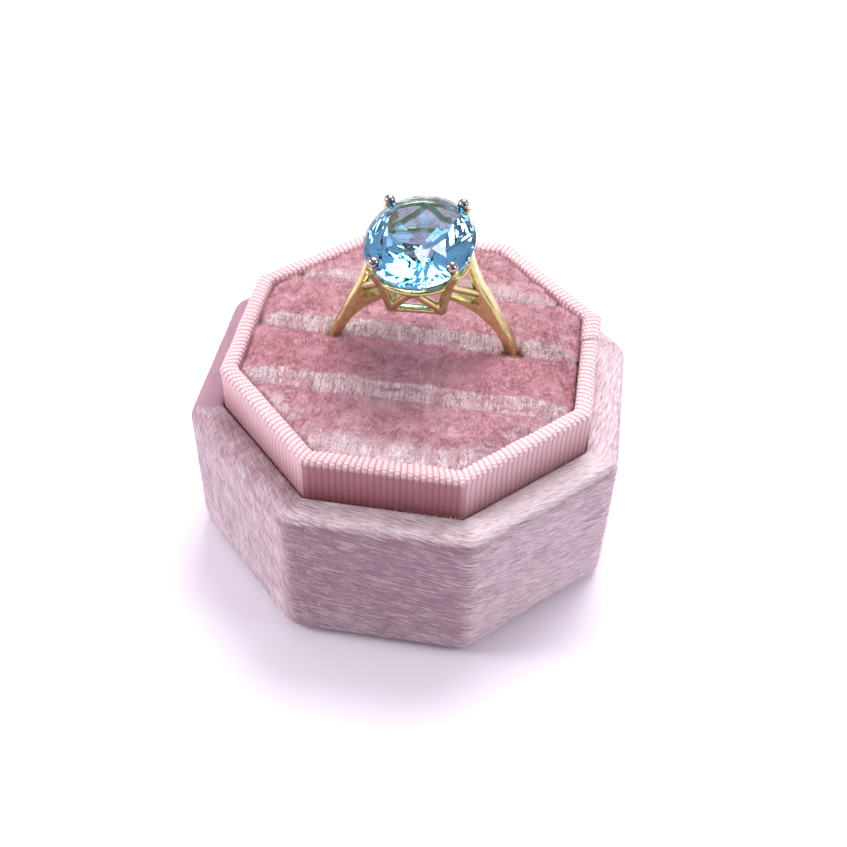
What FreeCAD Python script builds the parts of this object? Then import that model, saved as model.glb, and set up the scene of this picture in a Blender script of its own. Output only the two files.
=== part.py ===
import FreeCAD, Part
import math
import os

from FreeCAD import Vector

# Octagonal velvet ring box, lid off, with a cocktail ring standing in its cushion.
# Millimetres. Origin at the centre of the underside, +Z up, cushion rolls along X, front towards -Y.

# --- Driving dimensions: the box ---------------------------------------------------------------
BOX_HALF = 25.0  # half the distance across the flats, over the velvet
LEDGE_Z = 20.0  # height of the velvet ledge that the lid sits on
COLLAR_HALF = 21.1  # half across the flats of the collar, over its ribbon
COLLAR_TOP = 25.6

BOTTOM_COVER_HALF = 23.5
BOTTOM_COVER_T = 0.5
VELVET_T = 0.85  # nap and backing together
TURN_IN_T = 0.8  # the same cloth pressed flat under the box
TURN_IN_HALF = 18.0  # inner edge of the cloth turned in under the box
GLUE_GAP = 0.15
WALL_T = 2.0
BASE_BOARD_T = 2.0
RIM_RADIUS = 1.5  # soft outer edge of the ledge
FOOT_RADIUS = 1.2  # soft lower edge of the outside cloth
CORNER_RADIUS = 2.5  # the eight upright corners, outside
RIM_CLOTH_T = 1.0  # cloth over the top of the wall, thicker for its folded backing
INNER_TURN_Z = 8.0  # lower end of the cloth that goes down inside the wall

RIBBON_T = 0.35
RIBBON_OUTER_Z = 13.5  # lower end of the ribbon's outside leg
RIBBON_INNER_Z = 14.0  # lower end of its inside leg
COLLAR_BOARD_T = 1.2
COLLAR_FIT = 0.05  # between the ribbon and the cloth inside the wall
BOARD_FIT = 0.1  # between the floor board and the wall
SCORE_DEPTH = 0.5
SCORE_HALF_ANGLE = 0.012  # radians, seen from the axis
BUTT_GAP = 0.2  # between the two ends of a folded board strip
TAPE_T = 0.12
TAPE_REACH = 7.0  # how far a joint tape goes each side of its corner
TAPE_MARGIN = 0.2  # left bare at each end of a joint

# --- Driving dimensions: the cushion -----------------------------------------------------------
CARD_TOP = 11.4
CARD_T = 1.4
CARD_INSET = 0.3  # the card is cut this much smaller than the cushion
CUSHION_HALF = 18.95
CUSHION_TOP = 25.8
RISER_HALF = 18.0
RISER_CORNER_R = 1.0
ROLL_CLOTH_T = 0.9
ROLL_RADIUS = 1.6  # rounded shoulder of a roll along its slots
END_RADIUS = 1.8  # and where it meets the collar
SLOT_Y = (-9.5, 0.4, 10.3)  # the three slots, front to back
SLOT_GAP = (0.8, 2.8, 0.8)  # the middle slot holds the ring

# --- Driving dimensions: the ring --------------------------------------------------------------
RING_CENTRE = Vector(0.9, SLOT_Y[1], 23.0)
RING_LEAN = -2.5  # degrees about Y, it stands a little to the left
RING_YAW = 1.8  # degrees about Z
FINGER_R = 10.0
BAND_R = 11.25
BAND_W = 2.0
BAND_EDGE_R = 0.4
STRAP_T = 0.7  # the thin strap over the finger hole
STRAP_END_X = 2.6
SHOULDER_START_X = 9.78  # where each shoulder leaves the band, then its outer line up to the stone
SHOULDER_LINE = ((8.3, 8.75), (7.1, 11.1), (6.2, 13.7), (5.75, 15.9))
ARM_TIP = (5.25, 15.55)  # and its inner line down to the crotch
ARM_LINE = ((5.4, 13.6), (6.0, 11.2))
CROTCH = (6.75, 8.95)
STRAP_MID_X = 5.0
STONE_A = 6.1  # half the stone's width, along X
STONE_B = 8.3  # half its length, along Y
STONE_GIRDLE_Z = 16.9
STONE_GIRDLE_T = 0.35
STONE_CROWN = 1.9
STONE_PAVILION = 5.0
TABLE_R = 0.6  # facet corners as fractions of the girdle
STAR_R = 0.8
CULET_R = 0.26
BASE_RAIL_Z = 10.45
BASE_RAIL_R = 0.5
GALLERY_Z = 14.6
GALLERY_A = 5.4
GALLERY_B = 6.5
GALLERY_END_R = 4.9  # radius of the rail's front and back ends
GALLERY_R = 0.42
PRONG_R = 0.6
PRONG_FOOT = (2.8, 4.0, BASE_RAIL_Z)
PRONG_MID = (3.6, 5.15, GALLERY_Z)
PRONG_TOP = (4.5, 6.15, 17.1)
CLAW_POINT = (4.15, 5.8, 17.7)
CLAW_R = 0.66
LATTICE_R = 0.46
SHOULDER_STRUT_END = (6.5, 0.6, 10.3)

# --- Helpers -----------------------------------------------------------------------------------
EIGHTH = math.pi / 4
SIXTEENTH = math.pi / 8


def save(name, shape):
    """Write one node and say what it measures."""
    box = shape.BoundBox
    print(
        f"{name:20s} solids {len(shape.Solids):2d} valid {shape.isValid()} volume {shape.Volume:9.2f}"
        f"  z {box.ZMin:6.2f} to {box.ZMax:6.2f}"
    )
    shape.exportStep(os.path.join("parts", name + ".step"))


def polar(radius, angle, z=0.0):
    return Vector(radius * math.cos(angle), radius * math.sin(angle), z)


def octagon(half, z, corner_r=0.0):
    """A regular octagon with flats square to X and Y, its corners rounded to corner_r."""
    reach = half / math.cos(SIXTEENTH)
    setback = corner_r * math.tan(SIXTEENTH)
    corners = [polar(reach, SIXTEENTH + k * EIGHTH, z) for k in range(8)]
    if corner_r == 0.0:
        return Part.makePolygon(corners + corners[:1])
    edges = []
    for k in range(8):
        here = corners[k]
        before = (corners[k - 1] - here).normalize()
        after = (corners[(k + 1) % 8] - here).normalize()
        start = here + before * setback
        end = here + after * setback
        crest = polar(reach - corner_r / math.cos(SIXTEENTH) + corner_r, SIXTEENTH + k * EIGHTH, z)
        edges.append(Part.Arc(start, crest, end).toShape())
        following = corners[(k + 1) % 8]
        edges.append(Part.makeLine(end, following - after * setback))
    return Part.Wire(edges)


def prism(half, low, high, corner_r=0.0):
    face = Part.Face(octagon(half, low, corner_r))
    return face.extrude(Vector(0, 0, high - low))


def band(outer, inner, low, high, outer_r=0.0, inner_r=0.0):
    """A wall that runs round the octagon, from half-width inner to outer."""
    return prism(outer, low, high, outer_r).cut(prism(inner, low, high, inner_r))


def edges_at(shape, z, reach):
    """The shape's edges lying flat at height z, whose ends are all at least reach from the axis."""
    found = []
    for edge in shape.Edges:
        ends = [v.Point for v in edge.Vertexes]
        if all(abs(p.z - z) < 1e-4 and math.hypot(p.x, p.y) > reach for p in ends):
            found.append(edge)
    return found


def fused(shapes):
    whole = shapes[0]
    for shape in shapes[1:]:
        whole = whole.fuse(shape)
    return whole.removeSplitter()


def rod(start, end, radius):
    return Part.makeCylinder(radius, (end - start).Length, start, end - start)


def bead(point, radius):
    return Part.makeSphere(radius, point)


# --- The box -----------------------------------------------------------------------------------
WALL_LOW = BOTTOM_COVER_T + TURN_IN_T
WALL_OUTER = BOX_HALF - VELVET_T - GLUE_GAP
WALL_INNER = WALL_OUTER - WALL_T
WALL_TOP = LEDGE_Z - RIM_CLOTH_T
BASE_TOP = WALL_LOW + BASE_BOARD_T
RIBBON_INSIDE = COLLAR_HALF - 2 * RIBBON_T - COLLAR_BOARD_T
JOINT_ANGLE = SIXTEENTH  # the strips' ends meet at the corner at the right, towards the back


def bottom_cover():
    return prism(BOTTOM_COVER_HALF, 0.0, BOTTOM_COVER_T, CORNER_RADIUS)


def outer_velvet():
    """One strip of cloth: under the wall, up its outside, over the rim and down inside it."""
    outside = band(BOX_HALF, WALL_OUTER + GLUE_GAP, BOTTOM_COVER_T, LEDGE_Z, CORNER_RADIUS)
    inside_half = COLLAR_HALF + COLLAR_FIT
    over_rim = band(BOX_HALF, inside_half, WALL_TOP, LEDGE_Z, CORNER_RADIUS)
    down_inside = band(WALL_INNER, inside_half, INNER_TURN_Z, WALL_TOP)
    turn_in = band(BOX_HALF, TURN_IN_HALF, BOTTOM_COVER_T, WALL_LOW, CORNER_RADIUS)
    cloth = fused([outside, over_rim, down_inside, turn_in])
    cloth = cloth.makeFillet(RIM_RADIUS, edges_at(cloth, LEDGE_Z, BOX_HALF - 0.1))
    return cloth.makeFillet(FOOT_RADIUS, edges_at(cloth, BOTTOM_COVER_T, BOX_HALF - 0.1))


def score_lines(strip, outer, low, high):
    """Cut the strip's folds: a shallow V down the outside of each corner."""
    reach = outer / math.cos(SIXTEENTH)
    for k in range(8):
        angle = SIXTEENTH + k * EIGHTH
        tip = polar(reach - SCORE_DEPTH, angle, low)
        left = polar(reach + SCORE_DEPTH, angle + SCORE_HALF_ANGLE, low)
        right = polar(reach + SCORE_DEPTH, angle - SCORE_HALF_ANGLE, low)
        groove = Part.Face(Part.makePolygon([tip, left, right, tip])).extrude(Vector(0, 0, high - low))
        strip = strip.cut(groove)
    return strip


def butt_joint(strip, outer, low, high):
    """Open the closed strip where its two ends meet."""
    saw = Part.makeBox(2 * outer, BUTT_GAP, high - low, Vector(0, -BUTT_GAP / 2, low))
    saw.rotate(Vector(0, 0, 0), Vector(0, 0, 1), math.degrees(JOINT_ANGLE))
    return strip.cut(saw)


def board_strip(outer, thickness, low, high):
    strip = band(outer, outer - thickness, low, high)
    strip = score_lines(strip, outer, low, high)
    return butt_joint(strip, outer, low, high)


def joint_tape(outer, inner, low, high):
    """Paper tape folded over the corner where a board strip's ends meet."""
    around = Part.makeCylinder(TAPE_REACH, high - low, polar(outer / math.cos(SIXTEENTH), JOINT_ANGLE, low))
    return band(outer, inner, low, high).common(around)


def base_board():
    return prism(WALL_INNER - BOARD_FIT, WALL_LOW, BASE_TOP)


def ribbon_trim():
    """Grosgrain folded over the collar: an outside leg, the fold and an inside leg."""
    board_out = COLLAR_HALF - RIBBON_T
    board_in = RIBBON_INSIDE + RIBBON_T
    outside = band(COLLAR_HALF, board_out, RIBBON_OUTER_Z, COLLAR_TOP)
    fold = band(COLLAR_HALF, RIBBON_INSIDE, COLLAR_TOP - RIBBON_T, COLLAR_TOP)
    inside = band(board_in, RIBBON_INSIDE, RIBBON_INNER_Z, COLLAR_TOP)
    return fused([outside, fold, inside])


def make_box():
    collar_outer = COLLAR_HALF - RIBBON_T
    collar_inner = collar_outer - COLLAR_BOARD_T
    collar_top = COLLAR_TOP - RIBBON_T
    save("bottom_cover", bottom_cover())
    save("outer_velvet", outer_velvet())
    save("outer_wall", board_strip(WALL_OUTER, WALL_T, WALL_LOW, WALL_TOP))
    wall_ends = (WALL_LOW + TAPE_MARGIN, WALL_TOP - TAPE_MARGIN)
    save("wall_joint_tape", joint_tape(WALL_OUTER + TAPE_T, WALL_OUTER, *wall_ends))
    save("base_board", base_board())
    save("collar_board", board_strip(collar_outer, COLLAR_BOARD_T, BASE_TOP, collar_top))
    collar_ends = (BASE_TOP + TAPE_MARGIN, RIBBON_INNER_Z - TAPE_MARGIN)
    save("collar_joint_tape", joint_tape(collar_inner, collar_inner - TAPE_T, *collar_ends))
    save("ribbon_trim", ribbon_trim())
    save("riser_block", prism(RISER_HALF, BASE_TOP, CARD_TOP - CARD_T, RISER_CORNER_R))


# --- The cushion -------------------------------------------------------------------------------
def roll_profile(low_y, high_y, top, shoulder):
    """End view of one roll: straight sides from the card up, rounded over at the top."""
    side = top - shoulder
    bulge = shoulder * (1 - math.sqrt(0.5))
    foot_low = Vector(0, low_y, CARD_TOP)
    foot_high = Vector(0, high_y, CARD_TOP)
    low_side = Vector(0, low_y, side)
    low_crest = Vector(0, low_y + shoulder, top)
    high_side = Vector(0, high_y, side)
    high_crest = Vector(0, high_y - shoulder, top)
    edges = [
        Part.makeLine(foot_low, low_side),
        Part.Arc(low_side, Vector(0, low_y + bulge, top - bulge), low_crest).toShape(),
        Part.makeLine(low_crest, high_crest),
        Part.Arc(high_crest, Vector(0, high_y - bulge, top - bulge), high_side).toShape(),
        Part.makeLine(high_side, foot_high),
        Part.makeLine(foot_high, foot_low),
    ]
    return Part.Face(Part.Wire(edges))


def roll_block(index, inset, top, shoulder):
    """The space of one roll, drawn in by inset from its sides and rounded over at the top."""
    sides = [-CUSHION_HALF - ROLL_RADIUS]
    for place, gap in zip(SLOT_Y, SLOT_GAP):
        sides += [place - gap / 2, place + gap / 2]
    sides.append(CUSHION_HALF + ROLL_RADIUS)
    profile = roll_profile(sides[2 * index] + inset, sides[2 * index + 1] - inset, top, shoulder)
    profile.translate(Vector(-2 * CUSHION_HALF, 0, 0))
    whole = prism(CUSHION_HALF - inset, CARD_TOP, top)
    whole = whole.makeFillet(END_RADIUS - inset, edges_at(whole, top, 0.0))
    return whole.common(profile.extrude(Vector(4 * CUSHION_HALF, 0, 0)))


def make_cushion():
    save("insert_card", prism(CUSHION_HALF - CARD_INSET, CARD_TOP - CARD_T, CARD_TOP))
    for index, place in enumerate(("front", "mid_front", "mid_back", "back")):
        space = roll_block(index, 0.0, CUSHION_TOP, ROLL_RADIUS)
        core = roll_block(index, ROLL_CLOTH_T, CUSHION_TOP - ROLL_CLOTH_T, ROLL_RADIUS - ROLL_CLOTH_T)
        save("roll_foam_" + place, core)
        save("roll_velvet_" + place, space.cut(core))


# --- The ring ----------------------------------------------------------------------------------
# Drawn about the centre of the finger hole: X to the right, Y to the back, Z up through the stone.
def placed(shape):
    shape.rotate(Vector(0, 0, 0), Vector(0, 1, 0), RING_LEAN)
    shape.rotate(Vector(0, 0, 0), Vector(0, 0, 1), RING_YAW)
    shape.translate(RING_CENTRE)
    return shape


def quarters(point):
    """The point and its three mirror images across the ring's two upright planes."""
    x, y, z = point
    return [Vector(side * x, face * y, z) for face in (-1, 1) for side in (-1, 1)]


def on_circle(radius, x):
    return math.sqrt(radius * radius - x * x)


def upright(x, z):
    """A point in the ring's own front view."""
    return Vector(x, 0, z)


def shank_outline():
    """Front view: band, two shoulders that rise to the stone, and the straps over the finger."""
    strap_r = FINGER_R + STRAP_T
    shoulder_start = upright(SHOULDER_START_X, on_circle(BAND_R, SHOULDER_START_X))
    shoulder = [shoulder_start] + [upright(x, z) for x, z in SHOULDER_LINE]
    arm_tip = upright(*ARM_TIP)
    crotch = upright(*CROTCH)
    arm_inner = [arm_tip] + [upright(x, z) for x, z in ARM_LINE] + [crotch]
    strap_top = upright(STRAP_END_X, on_circle(strap_r, STRAP_END_X))
    strap_mid = upright(STRAP_MID_X, on_circle(strap_r, STRAP_MID_X))
    strap_low = upright(STRAP_END_X, on_circle(FINGER_R, STRAP_END_X))

    def mirrored(points):
        return [Vector(-p.x, p.y, p.z) for p in points]

    def spline(points, tangent):
        curve = Part.BSplineCurve()
        curve.interpolate(Points=points, InitialTangent=tangent[0], FinalTangent=tangent[1])
        return curve.toShape()

    tangent_at_start = Vector(-shoulder_start.z, 0, shoulder_start.x).normalize()
    edges = [Part.Arc(*mirrored([shoulder_start]), Vector(0, 0, -BAND_R), shoulder_start).toShape()]
    for side in (1, -1):
        turn = mirrored if side < 0 else list
        rise = turn([tangent_at_start, Vector(-0.12, 0, 1)])
        fall = turn([Vector(0.0, 0, -1), Vector(0.45, 0, -0.9)])
        edges.append(spline(turn(shoulder), rise))
        edges.append(Part.makeLine(*turn([shoulder[-1], arm_tip])))
        edges.append(spline(turn(arm_inner), fall))
        edges.append(Part.Arc(*turn([crotch, strap_mid, strap_top])).toShape())
        edges.append(Part.makeLine(*turn([strap_top, strap_low])))
    edges.append(Part.Arc(*mirrored([strap_low]), Vector(0, 0, -FINGER_R), strap_low).toShape())
    return Part.Wire(Part.__sortEdges__(edges))


def ring_shank():
    blank = Part.Face(shank_outline()).extrude(Vector(0, BAND_W, 0))
    blank.translate(Vector(0, -BAND_W / 2, 0))
    long_edges = []
    for edge in blank.Edges:
        ends = [v.Point for v in edge.Vertexes]
        outer = all(p.z > 3.0 and abs(p.x) > 5.7 for p in ends) and edge.Length > 4.0
        if outer and min(math.hypot(p.x, p.z) for p in ends) > BAND_R - 0.01:
            long_edges.append(edge)
    return blank.makeFillet(BAND_EDGE_R, long_edges)


def stone():
    """An oval brilliant: table, stars, bezels and upper halves over halves and mains to the culet."""
    rim = 1 / math.cos(SIXTEENTH / 2)

    def corner(radius, step, z):
        flat = polar(radius, step * SIXTEENTH)
        return Vector(flat.x * STONE_A, flat.y * STONE_B, STONE_GIRDLE_Z + z)

    def bezel_height(radius):
        run = radius * math.cos(SIXTEENTH)
        return STONE_CROWN * (rim - run) / (rim - TABLE_R)

    def main_depth(radius):
        run = radius * math.cos(SIXTEENTH)
        return -STONE_GIRDLE_T - STONE_PAVILION * (1 - run / rim)

    culet = corner(0, 0, -STONE_GIRDLE_T - STONE_PAVILION)
    table = [corner(TABLE_R, 2 * k, STONE_CROWN) for k in range(8)]
    star = [corner(STAR_R, 2 * k + 1, bezel_height(STAR_R)) for k in range(8)]
    lower = [corner(CULET_R, 2 * k + 1, main_depth(CULET_R)) for k in range(8)]
    girdle_top = [corner(rim, k, 0.0) for k in range(16)]
    girdle_low = [corner(rim, k, -STONE_GIRDLE_T) for k in range(16)]
    facets = [table]
    for k in range(8):
        after = (k + 1) % 8
        edge, mid, far = 2 * k, 2 * k + 1, (2 * k + 2) % 16
        facets.append([table[k], table[after], star[k]])
        facets.append([table[k], star[k - 1], girdle_top[edge], star[k]])
        facets.append([star[k], girdle_top[edge], girdle_top[mid]])
        facets.append([star[k], girdle_top[mid], girdle_top[far]])
        facets.append([lower[k], girdle_low[edge], girdle_low[mid]])
        facets.append([lower[k], girdle_low[mid], girdle_low[far]])
        facets.append([culet, lower[k - 1], girdle_low[edge], lower[k]])
    for k in range(16):
        after = (k + 1) % 16
        facets.append([girdle_top[k], girdle_top[after], girdle_low[after], girdle_low[k]])
    faces = [Part.Face(Part.makePolygon(points + points[:1])) for points in facets]
    rough = Part.Solid(Part.Shell(faces))
    low = STONE_GIRDLE_Z - STONE_GIRDLE_T - STONE_PAVILION - 1
    oval = Part.Ellipse(Vector(0, STONE_B, low), Vector(STONE_A, 0, low), Vector(0, 0, low)).toShape()
    girdle = Part.Face(Part.Wire([oval])).extrude(Vector(0, 0, STONE_CROWN - low + STONE_GIRDLE_Z + 1))
    return rough.common(girdle)


def gallery_rail():
    """The oval wire under the girdle: two flatter side arcs and two rounder end arcs, all tangent."""
    end_r = GALLERY_END_R
    end_centre = GALLERY_B - end_r
    side_r = (GALLERY_A**2 + end_centre**2 - end_r**2) / (2 * (GALLERY_A - end_r))
    side_centre = GALLERY_A - side_r
    lean = math.atan2(end_centre, -side_centre)
    meet_x = end_r * math.cos(lean)
    meet_y = end_centre + end_r * math.sin(lean)
    right = [Vector(x, y, GALLERY_Z) for x, y in ((meet_x, -meet_y), (GALLERY_A, 0), (meet_x, meet_y))]
    left = [Vector(-p.x, -p.y, p.z) for p in right]
    arcs = []
    for near, far in ((right, left), (left, right)):
        arcs.append(Part.Arc(*near).toShape())
        crest = Vector(0, math.copysign(GALLERY_B, near[2].y), GALLERY_Z)
        arcs.append(Part.Arc(near[2], crest, far[0]).toShape())
    section = Part.Wire([Part.makeCircle(GALLERY_R, right[0], arcs[0].tangentAt(arcs[0].FirstParameter))])
    return Part.Wire(arcs).makePipeShell([section], True, False)


def ring_basket(shank, gem):
    """Prongs, the two rails, the lattice at front and back and the struts to the shoulders."""
    feet = quarters(PRONG_FOOT)
    mids = quarters(PRONG_MID)
    tops = quarters(PRONG_TOP)
    pieces = [gallery_rail()]
    for foot, mid, top in zip(feet, mids, tops):
        pieces += [rod(foot, mid, PRONG_R), bead(foot, PRONG_R), bead(mid, PRONG_R), rod(mid, top, PRONG_R)]
        face = -1 if foot.y < 0 else 1
        side = -1 if foot.x < 0 else 1
        node = Vector(0, face * GALLERY_B, GALLERY_Z)
        pieces.append(rod(node, foot, LATTICE_R))
        reach, depth, height = SHOULDER_STRUT_END
        pieces.append(rod(mid, Vector(side * reach, face * depth, height), LATTICE_R))
    for here, there in ((0, 1), (1, 3), (3, 2), (2, 0)):
        pieces.append(rod(feet[here], feet[there], BASE_RAIL_R))
    whole = fused(pieces)
    return whole.cut(shank).cut(gem)


def claw_tips(basket, gem):
    """The four balls that hold the stone, each raised from the end of its prong."""
    claws = [bead(point, CLAW_R).cut(gem).cut(basket) for point in quarters(CLAW_POINT)]
    return Part.makeCompound([max(claw.Solids, key=lambda solid: solid.Volume) for claw in claws])


def make_ring():
    gem = stone()
    shank = ring_shank()
    basket = ring_basket(shank, gem)
    claws = claw_tips(basket, gem)
    save("ring_shank", placed(shank))
    save("ring_basket", placed(basket))
    save("claw_tips", placed(claws))
    save("gemstone", placed(gem))


os.makedirs("parts", exist_ok=True)
make_box()
make_cushion()
make_ring()
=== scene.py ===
import math

import bmesh
import bpy
import numpy as np
from mathutils import Matrix, Vector


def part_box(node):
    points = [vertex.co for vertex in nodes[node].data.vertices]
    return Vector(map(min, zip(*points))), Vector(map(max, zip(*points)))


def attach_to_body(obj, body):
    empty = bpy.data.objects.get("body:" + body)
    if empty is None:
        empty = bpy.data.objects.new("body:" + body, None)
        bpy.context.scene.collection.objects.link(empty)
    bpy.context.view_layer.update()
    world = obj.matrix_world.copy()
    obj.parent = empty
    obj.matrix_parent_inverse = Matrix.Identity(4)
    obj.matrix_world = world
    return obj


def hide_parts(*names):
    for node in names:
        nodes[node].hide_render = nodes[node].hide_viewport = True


# Octagonal velvet ring box, lid off, with a cocktail ring standing in its cushion: its looks.
# Lengths are in millimetres and scaled to metres as each mesh is made.

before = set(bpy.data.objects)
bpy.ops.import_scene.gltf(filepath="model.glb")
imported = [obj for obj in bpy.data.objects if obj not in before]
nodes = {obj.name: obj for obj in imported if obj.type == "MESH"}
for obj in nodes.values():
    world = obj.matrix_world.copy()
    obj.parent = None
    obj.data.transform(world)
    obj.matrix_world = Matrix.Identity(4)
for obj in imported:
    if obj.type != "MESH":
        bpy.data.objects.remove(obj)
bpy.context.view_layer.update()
scene = bpy.context.scene

MM = 0.001
TURN = math.pi / 4
HALF_TURN = math.pi / 8


def reach_of(node):
    """A CAD node's reach from the axis, its lowest z and its highest z, in millimetres."""
    low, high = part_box(node)
    return [round(value / MM, 2) for value in (high[0], low[2], high[2])]


def tint(red, green, blue):
    """A linear colour from the 0 to 255 values of a colour chart."""
    def linear(level):
        level /= 255
        return level / 12.92 if level <= 0.04045 else ((level + 0.055) / 1.055) ** 2.4
    return (linear(red), linear(green), linear(blue), 1.0)


# --- Materials ---------------------------------------------------------------------------------
class Paint:
    """One procedural material, written as short calls that each return a socket."""

    def __init__(self, name, **values):
        self.material = bpy.data.materials.new(name)
        self.material.use_nodes = True
        self.tree = self.material.node_tree
        self.shader = self.tree.nodes["Principled BSDF"]
        self.set(**values)

    def set(self, **values):
        for key, value in values.items():
            self.put(self.shader.inputs[key.replace("_", " ")], value)

    def put(self, socket, value):
        if isinstance(value, bpy.types.NodeSocket):
            self.tree.links.new(value, socket)
        else:
            socket.default_value = value

    def node(self, kind, values=(), output=0, **settings):
        made = self.tree.nodes.new("ShaderNode" + kind)
        for key, value in settings.items():
            setattr(made, key, value)
        for key, value in dict(values).items():
            self.put(made.inputs[key], value)
        return made.outputs[output]

    def vector(self, name):
        return self.node("Attribute", attribute_name=name, output="Vector")

    def share(self, name):
        return self.node("Attribute", attribute_name=name, output="Fac")

    def place(self):
        """Position on the piece, in millimetres."""
        spot = self.node("TexCoord", output="Object")
        return self.stretched(spot, (1000, 1000, 1000))

    def stretched(self, vector, scale):
        return self.node("VectorMath", {0: vector, 1: scale}, operation="MULTIPLY")

    def turned(self, vector, angle):
        return self.node("VectorRotate", {"Vector": vector, "Angle": angle}, rotation_type="Z_AXIS")

    def noise(self, vector, scale, detail=2.0, roughness=0.5, distortion=0.0):
        values = {"Vector": vector, "Scale": scale, "Detail": detail, "Roughness": roughness,
                  "Distortion": distortion}
        return self.node("TexNoise", values)

    def maths(self, operation, first, second=0.0):
        return self.node("Math", {0: first, 1: second}, operation=operation)

    def times(self, first, second):
        return self.maths("MULTIPLY", first, second)

    def plus(self, first, second):
        return self.maths("ADD", first, second)

    def spread(self, value, low, high, to_low=0.0, to_high=1.0):
        values = {"Value": value, "From Min": low, "From Max": high, "To Min": to_low, "To Max": to_high}
        return self.node("MapRange", values, clamp=True)

    def mix(self, share, first, second):
        return self.node("Mix", {0: share, 6: first, 7: second}, output=2, data_type="RGBA")

    def bump(self, height, depth_mm):
        return self.node("Bump", {"Height": height, "Distance": depth_mm * MM, "Strength": 1.0})


def wear(obj, paint):
    obj.data.materials.clear()
    obj.data.materials.append(paint.material)


# --- Meshes ------------------------------------------------------------------------------------
def make_object(name, points_mm, faces, smooth=True):
    mesh = bpy.data.meshes.new(name)
    mesh.from_pydata((np.asarray(points_mm) * MM).tolist(), [], [tuple(map(int, f)) for f in faces])
    mesh.validate()
    mesh.update()
    obj = bpy.data.objects.new(name, mesh)
    scene.collection.objects.link(obj)
    if smooth:
        mesh.shade_smooth()
    return obj


def attach(obj, name, values):
    """Store one number, or one vector, per vertex for the materials to read."""
    values = np.asarray(values, np.float32)
    kind, field = ("FLOAT_VECTOR", "vector") if values.ndim > 1 else ("FLOAT", "value")
    obj.data.attributes.new(name, kind, "POINT").data.foreach_set(field, values.ravel())


def points_of(obj):
    """The vertices of an object, in millimetres."""
    flat = np.zeros(len(obj.data.vertices) * 3)
    obj.data.vertices.foreach_get("co", flat)
    return flat.reshape(-1, 3) / MM


def set_points(obj, points_mm):
    obj.data.vertices.foreach_set("co", (points_mm * MM).ravel())
    obj.data.update()


def normals_of(obj):
    flat = np.zeros(len(obj.data.vertices) * 3)
    obj.data.vertices.foreach_get("normal", flat)
    return flat.reshape(-1, 3)


def waves(points, size, seed, count=28):
    """A smooth unevenness about size across, near -1 to 1: a sum of plane waves."""
    rng = np.random.default_rng(seed)
    total = np.zeros(len(points))
    for _ in range(count):
        direction = rng.normal(size=3)
        direction /= np.linalg.norm(direction)
        pace = 2 * math.pi / size * rng.uniform(0.6, 1.7)
        total += np.sin(points @ direction * pace + rng.uniform(0, 2 * math.pi))
    return total / math.sqrt(count / 2) / 1.6


def ease(value, low, high):
    """0 at low, 1 at high, smooth between."""
    share = np.clip((np.asarray(value, float) - low) / (high - low), 0, 1)
    return share * share * (3 - 2 * share)


MOST_OF_A_SIDE = 0.45
ARC_SPACING = 0.3
ARC_SHARE = 1.6  # an arc's length over its cut, for the corners used here


def soft_path(corners):
    """Points along a closed line of corners (half, z, radius, spacing), each rounded to its radius."""
    spots = [np.array(corner[:2], float) for corner in corners]
    count = len(spots)

    def rounding_start(k):
        """How far from corner k its rounding starts, on either side."""
        long_before = np.linalg.norm(spots[k - 1] - spots[k])
        long_after = np.linalg.norm(spots[(k + 1) % count] - spots[k])
        return min(corners[k][2], MOST_OF_A_SIDE * long_before, MOST_OF_A_SIDE * long_after)

    line = []
    for k, corner in enumerate(corners):
        here, following = spots[k], (k + 1) % count
        before, after = spots[k - 1] - here, spots[following] - here
        after_unit = after / np.linalg.norm(after)
        cut, spacing = rounding_start(k), corner[3]
        if cut > 0:
            start, end = here + before / np.linalg.norm(before) * cut, here + after_unit * cut
            steps = max(2, int(round(ARC_SHARE * cut / min(spacing, ARC_SPACING))))
            for step in range(steps + 1):
                t = step / steps
                line.append((1 - t) ** 2 * start + 2 * t * (1 - t) * here + t * t * end)
        else:
            line.append(here)
        first = line[-1]
        goal = spots[following] - after_unit * rounding_start(following)
        steps = max(1, int(round(np.linalg.norm(goal - first) / spacing)))
        for step in range(1, steps):
            line.append(first + (goal - first) * step / steps)
    return np.array(line)


def around(turns, half, radius, flat_share):
    """x and y at turns (0 to 8, one per side, from the back right) round an octagon with soft corners."""
    side = np.floor(turns)
    share = turns - side
    normal = TURN + side * TURN
    along = np.clip(-1 + 2 * share / flat_share, -1, 1)
    inner = half - radius
    run = along * inner * math.tan(HALF_TURN)
    flat_x = half * np.cos(normal) - run * np.sin(normal)
    flat_y = half * np.sin(normal) + run * np.cos(normal)
    swing = normal + TURN * (share - flat_share) / (1 - flat_share)
    reach = inner / math.cos(HALF_TURN)
    bend_x = reach * np.cos(normal + HALF_TURN) + radius * np.cos(swing)
    bend_y = reach * np.sin(normal + HALF_TURN) + radius * np.sin(swing)
    on_flat = share <= flat_share
    return np.where(on_flat, flat_x, bend_x), np.where(on_flat, flat_y, bend_y)


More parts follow.
